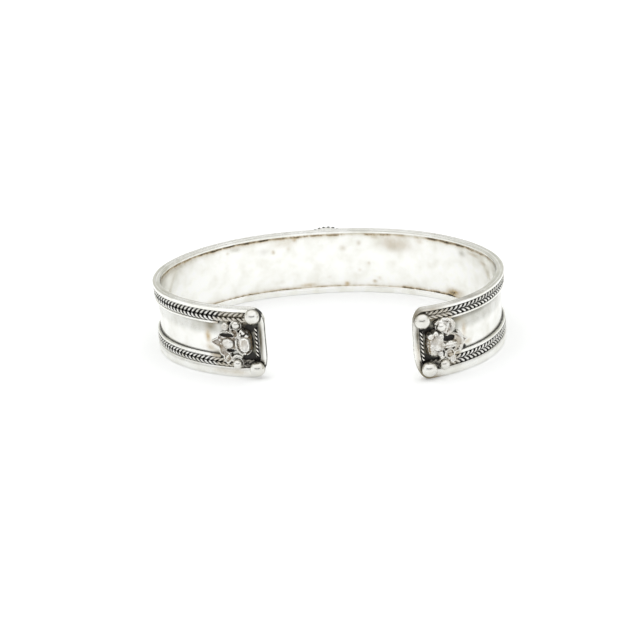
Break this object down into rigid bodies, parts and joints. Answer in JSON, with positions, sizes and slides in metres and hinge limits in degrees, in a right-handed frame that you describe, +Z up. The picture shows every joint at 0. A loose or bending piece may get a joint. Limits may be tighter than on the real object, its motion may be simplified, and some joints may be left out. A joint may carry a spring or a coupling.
{
  "type": "opal cuff bracelet",
  "caption": "Open silver cuff bracelet with twisted-wire borders, struck ornaments and balls at its ends, and a round opal cabochon in a bezel on its front.",
  "frame": {"origin": "middle of the bounding box, on the lower edge that the band stands on", "axes": "+Z up along the wrist's axis, +Y through the stone on the front, the opening between the ends facing -Y"},
  "size_m": [0.0622, 0.0544, 0.0124],
  "materials": {
    "silver": "sterling silver, polished on the rims and the sheet and blackened in the recesses",
    "opal": "polished precious opal cabochon with a play of colour"
  },
  "bodies": {
    "root": {"silver_cuff": "silver", "opal": "opal"}
  },
  "joints": []
}
